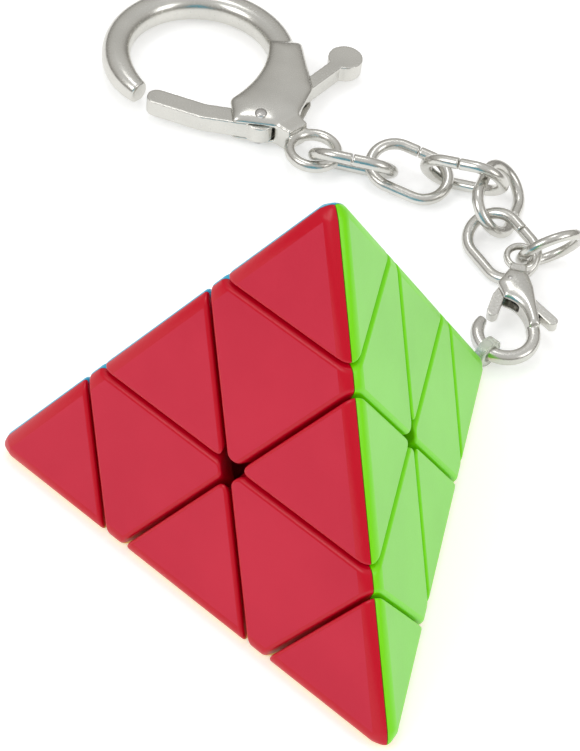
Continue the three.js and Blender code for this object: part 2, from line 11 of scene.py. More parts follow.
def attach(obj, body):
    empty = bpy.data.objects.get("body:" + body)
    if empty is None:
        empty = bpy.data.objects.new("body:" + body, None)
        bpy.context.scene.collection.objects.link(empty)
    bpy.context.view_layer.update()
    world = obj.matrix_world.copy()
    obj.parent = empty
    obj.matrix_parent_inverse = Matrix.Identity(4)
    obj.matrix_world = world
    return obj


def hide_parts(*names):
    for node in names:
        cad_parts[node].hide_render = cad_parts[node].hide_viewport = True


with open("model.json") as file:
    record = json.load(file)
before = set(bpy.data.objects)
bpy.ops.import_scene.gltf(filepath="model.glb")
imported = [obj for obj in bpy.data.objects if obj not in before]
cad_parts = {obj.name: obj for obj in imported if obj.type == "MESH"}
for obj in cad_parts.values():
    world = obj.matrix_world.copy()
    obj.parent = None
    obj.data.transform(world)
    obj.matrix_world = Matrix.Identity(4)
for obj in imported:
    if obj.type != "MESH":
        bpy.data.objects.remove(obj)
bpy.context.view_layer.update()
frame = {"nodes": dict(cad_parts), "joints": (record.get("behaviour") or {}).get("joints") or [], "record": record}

MM = 0.001

# ---------------------------------------------------------------- driving dimensions, in millimetres

EDGE = 48.0                      # edge of the sharp pyramid, before rounding
HEIGHT = EDGE * sqrt(2 / 3)
FACE_DISTANCE = HEIGHT / 4       # puzzle centre to each face
LAYER_CUT = 0.0876 * HEIGHT      # puzzle centre to each layer's cut
TIP_CUT = 0.429 * HEIGHT         # puzzle centre to each tip's cut
EDGE_ROUNDING = 1.3
TURN_GAP = 0.3                   # between pieces that turn past each other
SEAM = 0.06                      # parting line between two shells of one piece
CORNER_ROUNDING = 0.8            # of a facet's corner at the middle of a face, seen from above
CAVITY = 7.5                     # radius of the hollow round the core
MECHANISM = 7.35                 # radius inside which the feet and hubs of the CAD shells show
WELL_RADIUS = 2.3
ACUTE_FILLET = 0.45              # width on each side of a groove's sharp rim
OBTUSE_FILLET = 0.3              # and of its blunt rim
LARGEST_STRIP = 5.0              # area of the largest strip of a rounding: larger faces are flat

WIRE_RADIUS = 0.575              # chain link wire
LINK_HALF_LENGTH = 3.9
LINK_HALF_WIDTH = 2.5
RING_WIRE_RADIUS = 0.5
RING_RADIUS = 3.0
BUTT_GAP = 0.12                  # between the two ends of a bent wire
END_ROUNDING = 0.12              # of those ends, in wire radii along the wire
END_RADIUS = 0.88                # and across it

WELL_START = 1.0                 # the round well in a centre piece, along its axis
WELL_END = 15.5
STUB_START = 13.4                # the inner end of a tip's stub
STUB_RADIUS = 1.6
STUB_SINK = 1.0                  # how far the stub's outer end lies inside the tip

SLOT_CLEARANCE = 0.3             # round the gate and lever in a clasp's slot
GATE_TIP_GAP = 0.35              # beyond the hook's own half width
GATE_TIP_SETBACK = 3             # degrees
NECK_OVERLAP = 0.3
CROWN_RIM = 0.6                  # height of a clasp body's rim over that of its middle
HOOK_TIP_SIZE = 0.72             # of the hook's section at its tip
HOOK_TAPER = 0.16                # share of the hook's length over which it grows to full size
HOOK_ROUNDNESS = 0.85            # 1 would make the section an ellipse, less makes it squarer

WELD_DISTANCE = 1e-6             # metres
EYELET_VOXEL = 0.07
IDENTITY = Matrix.Identity(4)

joints = {joint["name"]: joint for joint in frame["joints"]}
slot_of = {part["node"]: part["material_slot"] for part in frame["record"]["subparts"]}
puzzle_centre = Vector(joints["layer_a_turn"]["pos_m"])
axis = {name: Vector(joints[f"tip_{name}_turn"]["axis"]).normalized() for name in "abcd"}
face_word = {"a": "yellow", "b": "green", "c": "blue", "d": "red"}

# ---------------------------------------------------------------- node helpers


class Nodes:
    """A material's node tree, with short calls to add nodes and link them."""

    def __init__(self, name):
        self.material = bpy.data.materials.new(name)
        self.material.use_nodes = True
        self.tree = self.material.node_tree
        self.shader = self.tree.nodes["Principled BSDF"]
        coordinates = self.tree.nodes.new("ShaderNodeTexCoord")
        self.place = coordinates.outputs["Object"]

    def add(self, kind, **settings):
        node = self.tree.nodes.new(kind)
        for key, value in settings.items():
            setattr(node, key, value)
        return node

    def link(self, output, socket):
        self.tree.links.new(output, socket)

    def noise(self, scale, detail=2.0, roughness=0.5):
        node = self.add("ShaderNodeTexNoise")
        node.inputs["Scale"].default_value = scale
        node.inputs["Detail"].default_value = detail
        node.inputs["Roughness"].default_value = roughness
        self.link(self.place, node.inputs["Vector"])
        return node.outputs["Fac"]

    def mapped(self, value, low, high, from_low=0.0, from_high=1.0):
        node = self.add("ShaderNodeMapRange")
        node.inputs["From Min"].default_value = from_low
        node.inputs["From Max"].default_value = from_high
        node.inputs["To Min"].default_value = low
        node.inputs["To Max"].default_value = high
        self.link(value, node.inputs["Value"])
        return node.outputs["Result"]

    def mixed(self, factor, first, second):
        node = self.add("ShaderNodeMix", data_type="RGBA")
        self.link(factor, node.inputs["Factor"])
        for value, socket in ((first, node.inputs[6]), (second, node.inputs[7])):
            if isinstance(value, tuple):
                socket.default_value = (*value, 1.0)
            else:
                self.link(value, socket)
        return node.outputs[2]

    def bump(self, height, strength, distance, normal=None):
        node = self.add("ShaderNodeBump")
        node.inputs["Strength"].default_value = strength
        node.inputs["Distance"].default_value = distance
        self.link(height, node.inputs["Height"])
        if normal:
            self.link(normal, node.inputs["Normal"])
        return node.outputs["Normal"]

    def set(self, **values):
        for key, value in values.items():
            socket = self.shader.inputs[key.replace("_", " ")]
            if isinstance(value, bpy.types.NodeSocket):
                self.link(value, socket)
            else:
                socket.default_value = value


# ---------------------------------------------------------------- materials


def shell_plastic(name, facet, groove):
    """Moulded plastic: finely frosted facets whose paler colour is a painted milky sheen, and smooth fillets and
    grooves in the deeper plain colour without it.
    """
    nodes = Nodes(name)
    facet_mask = nodes.add("ShaderNodeAttribute", attribute_name="facet").outputs["Fac"]
    drift = nodes.noise(90, 3)
    paler = tuple(min(1.0, value * 1.07 + 0.004) for value in facet)
    # the facets' paler colour is a painted sheen, the milky look of lit frosted plastic, mixed with a random drift
    # of tone
    facet_tone_with_painted_sheen = nodes.mixed(nodes.mapped(drift, 0, 1, 0.35, 0.65), facet, paler)
    colour = nodes.mixed(facet_mask, groove, facet_tone_with_painted_sheen)
    grain = nodes.noise(5200, 2, 0.6)
    pits = nodes.noise(1700, 3, 0.6)
    frosted = nodes.mapped(grain, 0.36, 0.5)
    smooth = nodes.mapped(drift, 0.26, 0.34)
    roughness = nodes.add("ShaderNodeMix", data_type="FLOAT")
    nodes.link(facet_mask, roughness.inputs["Factor"])
    nodes.link(smooth, roughness.inputs[2])
    nodes.link(frosted, roughness.inputs[3])
    relief = nodes.bump(grain, 0.28, 0.00003)
    relief = nodes.bump(pits, 0.12, 0.00005, relief)
    nodes.set(Base_Color=colour, Roughness=roughness.outputs[0], Normal=relief, IOR=1.5)
    nodes.set(Specular_IOR_Level=0.3)
    return nodes.material


def inner_plastic(name, colour):
    nodes = Nodes(name)
    mottle = nodes.noise(400, 3)
    darker = tuple(value * 0.85 for value in colour)
    nodes.set(Base_Color=nodes.mixed(mottle, darker, colour), Roughness=nodes.mapped(mottle, 0.4, 0.55))
    nodes.set(Normal=nodes.bump(nodes.noise(3000), 0.2, 0.00003), IOR=1.5)
    return nodes.material


def clear_plastic(name, colour):
    nodes = Nodes(name)
    haze = nodes.noise(900, 4)
    paler = tuple(min(1.0, value * 1.12) for value in colour)
    nodes.set(Base_Color=nodes.mixed(haze, colour, paler), Roughness=nodes.mapped(haze, 0.18, 0.34))
    nodes.set(Normal=nodes.bump(nodes.noise(1500, 2), 0.1, 0.00004))
    nodes.set(Transmission_Weight=0.55, IOR=1.48)
    return nodes.material


def plated_metal(name, colour, smoothness):
    """Polished plating: a faint roll of the surface, fine polishing marks and slightly uneven gloss."""
    nodes = Nodes(name)
    drift = nodes.noise(260, 3)
    marks = nodes.noise(4200, 3, 0.65)
    duller = tuple(value * 0.9 for value in colour)
    tone = nodes.mixed(nodes.mapped(drift, 0, 1, 0.3, 0.7), duller, colour)
    gloss = nodes.mapped(marks, smoothness * 0.85, smoothness * 1.2, 0.3, 0.7)
    relief = nodes.bump(nodes.noise(420, 1), 0.05, 0.0001)
    relief = nodes.bump(marks, 0.012, 0.00001, relief)
    nodes.set(Base_Color=tone, Roughness=gloss, Normal=relief, Metallic=1.0)
    return nodes.material


def floor_white():
    nodes = Nodes("floor_white")
    nodes.set(Base_Color=(0.9, 0.9, 0.9, 1.0), Roughness=nodes.mapped(nodes.noise(30), 0.55, 0.65))
    nodes.set(Emission_Color=(1.0, 1.0, 1.0, 1.0), Emission_Strength=0.35)
    return nodes.material


materials = {
    # each shell plastic's first colour is its facets' colour with a painted milky sheen in it, the second the
    # plain deeper colour of its fillets and grooves
    "yellow_plastic": shell_plastic("yellow_plastic", (0.76, 0.50, 0.03), (0.74, 0.44, 0.0)),
    "green_plastic": shell_plastic("green_plastic", (0.26, 0.72, 0.11), (0.2, 0.76, 0.0)),
    "blue_plastic": shell_plastic("blue_plastic", (0.14, 0.52, 0.68), (0.05, 0.45, 0.68)),
    "red_plastic": shell_plastic("red_plastic", (0.56, 0.008, 0.038), (0.56, 0.0, 0.016)),
    "core_plastic": inner_plastic("core_plastic", (0.62, 0.5, 0.5)),
    "eyelet_plastic": clear_plastic("eyelet_plastic", (0.80, 0.83, 0.74)),
    "nickel": plated_metal("nickel", (0.66, 0.65, 0.61), 0.24),
    "steel": plated_metal("steel", (0.60, 0.59, 0.57), 0.28),
}

# ---------------------------------------------------------------- pieces


def object_from(bm, name, to_row):
    """Makes an object of a mesh in millimetres; to_row takes it to the row frame, in metres."""
    bmesh.ops.recalc_face_normals(bm, faces=bm.faces[:])
    mesh = bpy.data.meshes.new(name)
    bm.to_mesh(mesh)
    bm.free()
    mesh.transform(to_row)
    piece = bpy.data.objects.new(name, mesh)
    bpy.context.scene.collection.objects.link(piece)
    return piece


def finish_piece(piece, body, slot, *nodes):
    piece.data.materials.clear()
    piece.data.materials.append(materials[slot])
    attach(piece, body)
    if nodes:
        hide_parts(*nodes)
    return piece


def apply_modifiers(piece):
    graph = bpy.context.evaluated_depsgraph_get()
    mesh = bpy.data.meshes.new_from_object(piece.evaluated_get(graph))
    piece.modifiers.clear()
    piece.data = mesh


def boolean(piece, operation, tool):
    modifier = piece.modifiers.new(operation.lower(), "BOOLEAN")
    modifier.operation = operation
    modifier.solver = "MANIFOLD"
    modifier.object = tool
    return modifier


def tool_object(bm, name, to_row):
    """A shape that only cuts others: never shown."""
    tool = object_from(bm, name, to_row)
    tool.hide_render = True
    tool.hide_viewport = True
    return tool


about_puzzle = Matrix.Translation(puzzle_centre) @ Matrix.Scale(MM, 4)


def ball(radius, name):
    bm = bmesh.new()
    bmesh.ops.create_uvsphere(bm, u_segments=48, v_segments=24, radius=radius)
    return tool_object(bm, name, IDENTITY)


def turned(bm, direction):
    """Turns a mesh so that its +Z points along a direction."""
    turn = Vector((0, 0, 1)).rotation_difference(direction).to_matrix()
    bmesh.ops.rotate(bm, verts=bm.verts[:], matrix=turn)
    return bm


def lathe(profile, sides=32):
    """Spins a profile of (radius, height) points, from the axis back to the axis, about Z."""
    bm = bmesh.new()
    rings = []
    for radius, height in profile:
        if radius == 0:
            rings.append([bm.verts.new((0, 0, height))])
            continue
        angles = [2 * pi * index / sides for index in range(sides)]
        rings.append([bm.verts.new((radius * cos(a), radius * sin(a), height)) for a in angles])
    for lower, upper in zip(rings, rings[1:]):
        for index in range(sides):
            following = (index + 1) % sides
            corners = [lower[index % len(lower)], lower[following % len(lower)]]
            corners += [upper[following % len(upper)], upper[index % len(upper)]]
            corners = list(dict.fromkeys(corners))
            bm.faces.new(corners)
    for face in bm.faces:
        face.smooth = True
    return bm


# ---------------------------------------------------------------- puzzle shells


def rounded_pyramid():
    bm = bmesh.new()
    corners = {name: bm.verts.new(axis[name] * 3 * FACE_DISTANCE) for name in "abcd"}
    for left_out in "abcd":
        bm.faces.new([corners[name] for name in "abcd" if name != left_out])
    bmesh.ops.recalc_face_normals(bm, faces=bm.faces[:])
    setback = EDGE_ROUNDING / tan(asin(sqrt(1 / 3)))
    bmesh.ops.bevel(
        bm, geom=bm.edges[:], offset=setback, offset_type="OFFSET", segments=10, profile=0.5, affect="EDGES"
    )
    bm.faces.layers.int.new("wall")
    return bm


def cut(bm, normal, distance, wall):
    """Keeps what lies below a plane and closes the cut with one face, marked with a wall number."""
    everything = bm.verts[:] + bm.edges[:] + bm.faces[:]
    result = bmesh.ops.bisect_plane(
        bm, geom=everything, dist=1e-5, plane_co=normal * distance, plane_no=normal, clear_outer=True
    )
    rim = [item for item in result["geom_cut"] if isinstance(item, bmesh.types.BMEdge)]
    made = bmesh.ops.contextual_create(bm, geom=rim)["faces"]
    layer = bm.faces.layers.int["wall"]
    for face in made:
        face[layer] = wall
    bmesh.ops.recalc_face_normals(bm, faces=bm.faces[:])


def fillet(bm, width, segments, chosen):
    layer = bm.faces.layers.int["wall"]
    edges = []
    for edge in bm.edges:
        walls = sorted(face[layer] for face in edge.link_faces)
        if len(walls) == 2 and chosen(*walls):
            edges.append(edge)
    bmesh.ops.bevel(
        bm, geom=edges, offset=width, offset_type="OFFSET", segments=segments, profile=0.5, affect="EDGES"
    )


def whole_piece(walls, corner_width, rim_width):
    """A piece cut from the rounded pyramid by walls, with its upright corners and then its rims rounded."""
    bm = rounded_pyramid()
    for number, (normal, distance) in enumerate(walls, start=1):
        cut(bm, normal, distance, number)
    if corner_width:
        fillet(bm, corner_width, 5, lambda first, second: 0 < first < second)
    fillet(bm, rim_width, 4, lambda first, second: first == 0 < second)
    return bm


def shell(whole, seams, name):
    """One face's shell of a whole piece, cut out by seam planes."""
    bm = whole.copy()
    for number, normal in enumerate(seams, start=10):
        cut(bm, -normal, -SEAM / 2, number)
    for face in bm.faces:
        face.smooth = True
    return object_from(bm, name, IDENTITY)


def mark_facet(piece, face_name):
    """Gives the flat facet's own faces the value 1, and the fillets, walls and hollows 0."""
    mesh = piece.data
    mask = mesh.attributes.new("facet", "FLOAT", "FACE")
    outward = -axis[face_name]
    for polygon in mesh.polygons:
        height = outward.dot(polygon.center)
        flat = outward.dot(polygon.normal) > 0.9999 and abs(height - FACE_DISTANCE) < 0.01
        mask.data[polygon.index].value = 1.0 if flat else 0.0
        polygon.use_smooth = polygon.area < LARGEST_STRIP


def mark_sharp(piece, angle=radians(34)):
    bm = bmesh.new()
    bm.from_mesh(piece.data)
    for edge in bm.edges:
        if len(edge.link_faces) == 2 and edge.calc_face_angle(0) > angle:
            edge.smooth = False
    bm.to_mesh(piece.data)
    bm.free()


def finish_shell(piece, face, body, slot, *nodes):
    mark_sharp(piece)
    mark_facet(piece, face)
    piece.data.transform(about_puzzle)
    finish_piece(piece, body, slot, *nodes)


def others(*names):
    return [name for name in "abcd" if name not in names]


def seam_normal(first, second, face):
    normal = axis[first].cross(axis[second]).normalized()
    return -normal if normal.dot(axis[face]) > 0 else normal


def tip_shells(vertex):
    whole = whole_piece([(-axis[vertex], -TIP_CUT - TURN_GAP / 2)], 0, ACUTE_FILLET)
    for face in others(vertex):
        name = f"tip_{vertex}_{face_word[face]}_shell"
        seams = [seam_normal(vertex, other, face) for other in others(vertex, face)]
        piece = shell(whole, seams, name + "_skin")
        finish_shell(piece, face, f"tip_{vertex}", slot_of[name], name)
    whole.free()


def centre_shells(vertex, body, hollow):
    corner_cut = LAYER_CUT - TURN_GAP / 2 + CORNER_ROUNDING * sqrt(8 / 9)
    walls = [(-axis[vertex], -corner_cut), (axis[vertex], TIP_CUT - TURN_GAP / 2)]
    walls += [(axis[name], LAYER_CUT - TURN_GAP / 2) for name in others(vertex)]
    whole = whole_piece(walls, 0.45 * CORNER_ROUNDING, OBTUSE_FILLET)
    well_profile = [(0, WELL_START), (WELL_RADIUS, WELL_START), (WELL_RADIUS, WELL_END), (0, WELL_END)]
    well = tool_object(turned(lathe(well_profile), axis[vertex]), f"well_{vertex}", IDENTITY)
    for face in others(vertex):
        name = f"centre_{vertex}_{face_word[face]}_shell"
        seams = [seam_normal(vertex, other, face) for other in others(vertex, face)]
        piece = shell(whole, seams, name + "_skin")
        boolean(piece, "DIFFERENCE", hollow)
        boolean(piece, "DIFFERENCE", well)
        apply_modifiers(piece)
        finish_shell(piece, face, body, slot_of[name])
    whole.free()


def edge_shells(first, second, body, hollow):
    walls = [(-axis[name], -LAYER_CUT - TURN_GAP / 2) for name in (first, second)]
    whole = whole_piece(walls, CORNER_ROUNDING * sqrt(2), ACUTE_FILLET)
    for face in others(first, second):
        name = f"edge_{first}{second}_{face_word[face]}_half"
        piece = shell(whole, [seam_normal(first, second, face)], name + "_skin")
        boolean(piece, "DIFFERENCE", hollow)
        apply_modifiers(piece)
        finish_shell(piece, face, body, slot_of[name])
    whole.free()


def tip_stub(vertex):
    """The round stub that clips a tip into its centre piece, with a bead round it."""
    bead = [(1.6, 14.4), (2.05, 14.55), (2.1, 14.8), (1.9, 15.1), (1.6, 15.2)]
    profile = [(0, STUB_START), (STUB_RADIUS, STUB_START), *bead]
    profile += [(STUB_RADIUS, TIP_CUT + STUB_SINK), (0, TIP_CUT + STUB_SINK)]
    piece = object_from(turned(lathe(profile), axis[vertex]), f"tip_{vertex}_stub", about_puzzle)
    first_face = others(vertex)[0]
    finish_piece(piece, f"tip_{vertex}", slot_of[f"tip_{vertex}_{face_word[first_face]}_shell"])


def show_mechanism(clip):
    """The CAD shells of the centre and edge pieces show only as feet and hubs, inside the hollow."""
    for name, node in frame["nodes"].items():
        if name.startswith(("centre_", "edge_")):
            weld = node.modifiers.new("weld", "WELD")
            weld.merge_threshold = WELD_DISTANCE
            boolean(node, "INTERSECT", clip)


def puzzle():
    hollow = ball(CAVITY, "hollow")
    clip = ball(MECHANISM, "clip")
    clip.data.transform(about_puzzle)
    for vertex in "abcd":
        tip_shells(vertex)
        tip_stub(vertex)
        centre_shells(vertex, "layer_a" if vertex == "a" else "core_frame", hollow)
    for index, first in enumerate("abcd"):
        for second in "abcd"[index + 1:]:
            edge_shells(first, second, "layer_a" if first == "a" else "core_frame", hollow)
    show_mechanism(clip)


# ---------------------------------------------------------------- wire


def sweep(path, section, closed=False):
    """A tube along a planar path of (point, tangent), with Z across it. section(t) gives (radial, height)."""
    bm = bmesh.new()
    rings = []
    count = len(path)
    for index, (point, tangent) in enumerate(path):
        side = tangent.cross(Vector((0, 0, 1))).normalized()
        outline = section(index / (count - 1))
        places = [point + side * across + Vector((0, 0, height)) for across, height in outline]
        rings.append([bm.verts.new(place) for place in places])
    pairs = list(zip(rings, rings[1:]))
    if closed:
        pairs.append((rings[-1], rings[0]))
    for first, second in pairs:
        for index in range(len(first)):
            following = (index + 1) % len(first)
            bm.faces.new([first[index], first[following], second[following], second[index]])
    if not closed:
        bm.faces.new(rings[0])
        bm.faces.new(rings[-1])
    for face in bm.faces:
        face.smooth = True
    return bm


def round_section(radius, sides=20):
    angles = [2 * pi * index / sides for index in range(sides)]
    return [(radius * cos(angle), radius * sin(angle)) for angle in angles]


def bent_wire(half_length, half_width, radius, steps=110):
    """An oval of wire whose two ends, slightly rounded, meet at the middle of one side."""
    straight = half_length - half_width
    around = 4 * straight + 2 * pi * half_width
    path = []
    for index in range(steps + 1):
        way = BUTT_GAP / 2 + (around - BUTT_GAP) * index / steps
        bend = pi * half_width
        if way < straight:
            place = (Vector((way, half_width, 0)), Vector((1, 0, 0)))
        elif way < straight + bend:
            turn = (way - straight) / half_width
            place = (Vector((straight + half_width * sin(turn), half_width * cos(turn), 0)),
                     Vector((cos(turn), -sin(turn), 0)))
        elif way < 3 * straight + bend:
            place = (Vector((2 * straight + bend - way, -half_width, 0)), Vector((-1, 0, 0)))
        elif way < 3 * straight + 2 * bend:
            turn = (way - 3 * straight - bend) / half_width
            place = (Vector((-straight - half_width * sin(turn), -half_width * cos(turn), 0)),
                     Vector((-cos(turn), sin(turn), 0)))
        else:
            place = (Vector((way - around, half_width, 0)), Vector((1, 0, 0)))
        path.append(place)
    first, last = path[0], path[-1]
    ease = radius * END_ROUNDING
    path.insert(1, (first[0] + first[1] * ease, first[1]))
    path.insert(-1, (last[0] - last[1] * ease, last[1]))
    ends = {0.0, 1.0}

    def section(t):
        return round_section(radius * (END_RADIUS if t in ends else 1.0))

    return sweep(path, section)


def node_frame(name):
    """Where a flat CAD ring lies: its middle, and its length, width and normal directions, as a matrix."""
    points = [vertex.co.copy() for vertex in frame["nodes"][name].data.vertices]
    mean = sum(points, Vector()) / len(points)
    spread = Matrix(((0, 0, 0), (0, 0, 0), (0, 0, 0)))
    for point in points:
        offset = (point - mean) / MM
        for row in range(3):
            for column in range(3):
                spread[row][column] += offset[row] * offset[column]
    directions = principal_directions(spread)
    middle = Vector()
    for direction in directions:
        reach = [direction.dot(point) for point in points]
        middle += direction * (min(reach) + max(reach)) / 2
    if directions[1].dot(mean - middle) < 0:
        directions[1].negate()
    directions[2] = directions[0].cross(directions[1])
    return Matrix.Translation(middle) @ Matrix(directions).transposed().to_4x4() @ Matrix.Scale(MM, 4)


def principal_directions(spread):
    """The three axes of a symmetric matrix, the longest first, found by turning pairs of axes in turn."""
    axes = Matrix.Identity(3)
    for _ in range(12):
        for row, column in ((0, 1), (0, 2), (1, 2)):
            angle = 0.5 * atan2(2 * spread[row][column], spread[row][row] - spread[column][column])
            turn = Matrix.Identity(3)
            turn[row][row] = turn[column][column] = cos(angle)
            turn[row][column] = -sin(angle)
            turn[column][row] = sin(angle)
            spread = turn.transposed() @ spread @ turn
            axes = axes @ turn
    order = sorted(range(3), key=lambda index: -spread[index][index])
    return [axes.col[index].copy() for index in order]


def chain():
    for number in range(1, 6):
        name = f"chain_link_{number}"
        wire = bent_wire(LINK_HALF_LENGTH, LINK_HALF_WIDTH, WIRE_RADIUS)
        piece = object_from(wire, name + "_wire", node_frame(name))
        finish_piece(piece, f"link_{number}", "nickel", name)
    ring = bent_wire(RING_RADIUS, RING_RADIUS, RING_WIRE_RADIUS)
    piece = object_from(ring, "jump_ring_wire", node_frame("jump_ring"))
    finish_piece(piece, "jump_ring", "nickel", "jump_ring")


# ---------------------------------------------------------------- lobster clasps

BIG_CLASP = dict(
    hook_radius=8.35, hook_width=1.45, hook_height=1.5, tip_angle=176, end_angle=400, body_height=1.9,
    neck_width=1.5, neck_height=1.3, eye_distance=17, eye_radius=2.33, eye_width=0.55, eye_height=0.65,
    apex=(-2.6, 7.4), gate_shoulder=(-4.5, 10.0), lever_flank=(9.0, 5.2), lever_shoulder=(5.2, 11.2),
    opening_bulge=(3.2, 6.9), opening_end=(6.4, 3), pivot=(-1.9, 11.2), hub_radius=1.55, rivet_radius=0.6,
    lever_height=0.9, slot_height=1.2, gate_width=1.05, gate_bow=0.7, lever_end=(11.3, 9.2),
    lever_width=0.7, pad_radius=1.75, open_angle=18, voxel=0.11, crown_reach=3.2, body_softening=30,
)
SMALL_CLASP = dict(
    hook_radius=2.6, hook_width=0.66, hook_height=0.7, tip_angle=152, end_angle=390, body_height=1.3,
    neck_width=0.9, neck_height=0.7, eye_distance=9.3, eye_radius=1.3, eye_width=0.33, eye_height=0.42,
    apex=(-0.8, 3.7), gate_shoulder=(-1.7, 5.2), lever_flank=(3, 1.3), lever_shoulder=(1.7, 5.6),
    opening_bulge=(1.2, 3.6), opening_end=(1.95, 0.9), pivot=(-0.5, 5.7), hub_radius=0.95, rivet_radius=0.35,
    lever_height=0.55, slot_height=0.75, gate_width=0.55, gate_bow=0.3, lever_end=(4.0, 2.3),
    lever_width=0.5, pad_radius=0.5, open_angle=18, voxel=0.06, crown_reach=1.4, body_softening=16,
)


def lies(centre, right, up):
    """The matrix of a clasp that lies with its hook's circle at centre, from the puzzle's upright axis."""
    x = Vector(right).normalized()
    z = Vector(up)
    z = (z - x * z.dot(x)).normalized()
    turn = Matrix((x, z.cross(x), z)).transposed().to_4x4()
    start = Vector((puzzle_centre.x, puzzle_centre.y, 0)) + Vector(centre) * MM
    return Matrix.Translation(start) @ turn @ Matrix.Scale(MM, 4)


def plate(outline, height):
    bm = bmesh.new()
    bottom = [bm.verts.new((x, y, -height)) for x, y in outline]
    top = [bm.verts.new((x, y, height)) for x, y in outline]
    bm.faces.new(bottom)
    bm.faces.new(top)
    for index in range(len(outline)):
        following = (index + 1) % len(outline)
        bm.faces.new([bottom[index], bottom[following], top[following], top[index]])
    return bm


def disc(centre, radius, sides=40):
    angles = [2 * pi * index / sides for index in range(sides)]
    return [(centre[0] + radius * cos(a), centre[1] + radius * sin(a)) for a in angles]


def bar(start, end, width, steps=14):
    """The outline of a straight bar with round ends."""
    start, end = Vector(start), Vector(end)
    ahead = atan2(end.y - start.y, end.x - start.x)
    outline = []
    for centre, first in ((end, ahead - pi / 2), (start, ahead + pi / 2)):
        for index in range(steps + 1):
            angle = first + pi * index / steps
            outline.append((centre.x + width * cos(angle), centre.y + width * sin(angle)))
    return outline


def curve_points(start, bulge, end, steps=14):
    points = []
    for index in range(steps + 1):
        t = index / steps
        points.append(tuple(
            (1 - t) ** 2 * start[k] + 2 * t * (1 - t) * bulge[k] + t ** 2 * end[k] for k in range(2)
        ))
    return points


def gate_end(spec):
    gap = (spec["hook_width"] + GATE_TIP_GAP) / spec["hook_radius"]
    angle = radians(spec["tip_angle"] - GATE_TIP_SETBACK) - gap
    return (spec["hook_radius"] * cos(angle), spec["hook_radius"] * sin(angle))


def body_outline(spec):
    neck_base = spec["eye_distance"] - spec["eye_radius"] - spec["neck_width"]
    outline = [(-spec["neck_width"], neck_base), spec["gate_shoulder"]]
    outline += curve_points(spec["apex"], spec["opening_bulge"], spec["opening_end"])
    outline += [spec["lever_flank"], spec["lever_shoulder"], (spec["neck_width"], neck_base)]
    return outline


def hook(spec):
    """The hook, swept round its circle and drawn in towards its tip."""
    start, end = radians(spec["tip_angle"]), radians(spec["end_angle"])
    steps = 96
    radius = spec["hook_radius"]
    path = []
    for index in range(steps + 1):
        angle = start + (end - start) * index / steps
        place = Vector((radius * cos(angle), radius * sin(angle), 0))
        path.append((place, Vector((-sin(angle), cos(angle), 0))))

    def section(t):
        ease = min(1.0, t / HOOK_TAPER)
        size = HOOK_TIP_SIZE + (1 - HOOK_TIP_SIZE) * sin(ease * pi / 2)
        outline = []
        for index in range(28):
            angle = 2 * pi * index / 28
            across = abs(cos(angle)) ** HOOK_ROUNDNESS * (1 if cos(angle) > 0 else -1)
            height = abs(sin(angle)) ** HOOK_ROUNDNESS * (1 if sin(angle) > 0 else -1)
            outline.append((size * spec["hook_width"] * across, size * spec["hook_height"] * height))
        return outline

    return sweep(path, section)


def eye(spec):
    radius = spec["eye_radius"]
    steps = 64
    path = []
    for index in range(steps):
        angle = 2 * pi * index / steps
        path.append((
            Vector((radius * cos(angle), spec["eye_distance"] + radius * sin(angle), 0)),
            Vector((-sin(angle), cos(angle), 0)),
        ))
    outline = [(spec["eye_width"] * x, spec["eye_height"] * y) for x, y in round_section(1.0)]
    return sweep(path, lambda t: outline, closed=True)


def slot_tool(spec, name, to_row):
    """The room between the body's cheeks that the gate and lever sweep as they open."""
    pivot = Vector(spec["pivot"])
    swing = radians(spec["open_angle"])
    reach = 2 * spec["hook_radius"]
    tool = plate(disc(spec["pivot"], spec["hub_radius"] + SLOT_CLEARANCE), spec["slot_height"])
    arms = (
        (spec["lever_end"], spec["lever_width"]),
        (gate_end(spec), spec["gate_width"] + spec["gate_bow"]),
    )
    for target, width in arms:
        offset = Vector(target) - pivot
        ahead = atan2(offset.y, offset.x)
        side = width + SLOT_CLEARANCE
        outline = []
        for x, y, turn in ((0, -side, 0), (reach, -side, 0), (reach, side, swing), (0, side, swing)):
            c, n = cos(ahead + turn), sin(ahead + turn)
            outline.append((pivot.x + x * c - y * n, pivot.y + x * n + y * c))
        add_mesh(tool, plate(outline, spec["slot_height"]))
    return tool_object(remeshed(tool, spec["voxel"]), name, to_row)


def add_mesh(bm, other):
    mesh = bpy.data.meshes.new("joined")
    bmesh.ops.recalc_face_normals(other, faces=other.faces[:])
    other.to_mesh(mesh)
    other.free()
    bm.from_mesh(mesh)
    bpy.data.meshes.remove(mesh)


def remeshed(bm, voxel):
    """One closed skin round overlapping solids."""
    bmesh.ops.recalc_face_normals(bm, faces=bm.faces[:])
    mesh = bpy.data.meshes.new("skin")
    bm.to_mesh(mesh)
    bm.free()
    piece = bpy.data.objects.new("skin", mesh)
    bpy.context.scene.collection.objects.link(piece)
    modifier = piece.modifiers.new("skin", "REMESH")
    modifier.mode = "VOXEL"
    modifier.voxel_size = voxel
    apply_modifiers(piece)
    result = bmesh.new()
    result.from_mesh(piece.data)
    bpy.data.objects.remove(piece)
    return result


def softened(piece, rounds):
    """Rounds a cast piece's edges and smooths its skin."""
    smooth = piece.modifiers.new("soft", "SMOOTH")
    smooth.factor = 0.5
    smooth.iterations = rounds
    apply_modifiers(piece)
    for polygon in piece.data.polygons:
        polygon.use_smooth = True


def crowned(bm, outline, rim, reach):
    """Thins a cast plate towards its outline: over the last reach its height falls to rim times itself."""
    corners = [Vector(corner) for corner in outline]
    sides = list(zip(corners, corners[1:] + corners[:1]))
    for vertex in bm.verts:
        place = vertex.co.xy
        distance = reach
        for start, end in sides:
            along = end - start
            t = (place - start).dot(along) / along.length_squared
            nearest = start + along * max(0.0, min(1.0, t))
            distance = min(distance, (place - nearest).length)
        ease = 1 - distance / reach
        vertex.co.z *= rim + (1 - rim) * sqrt(max(0.0, 1 - ease * ease))


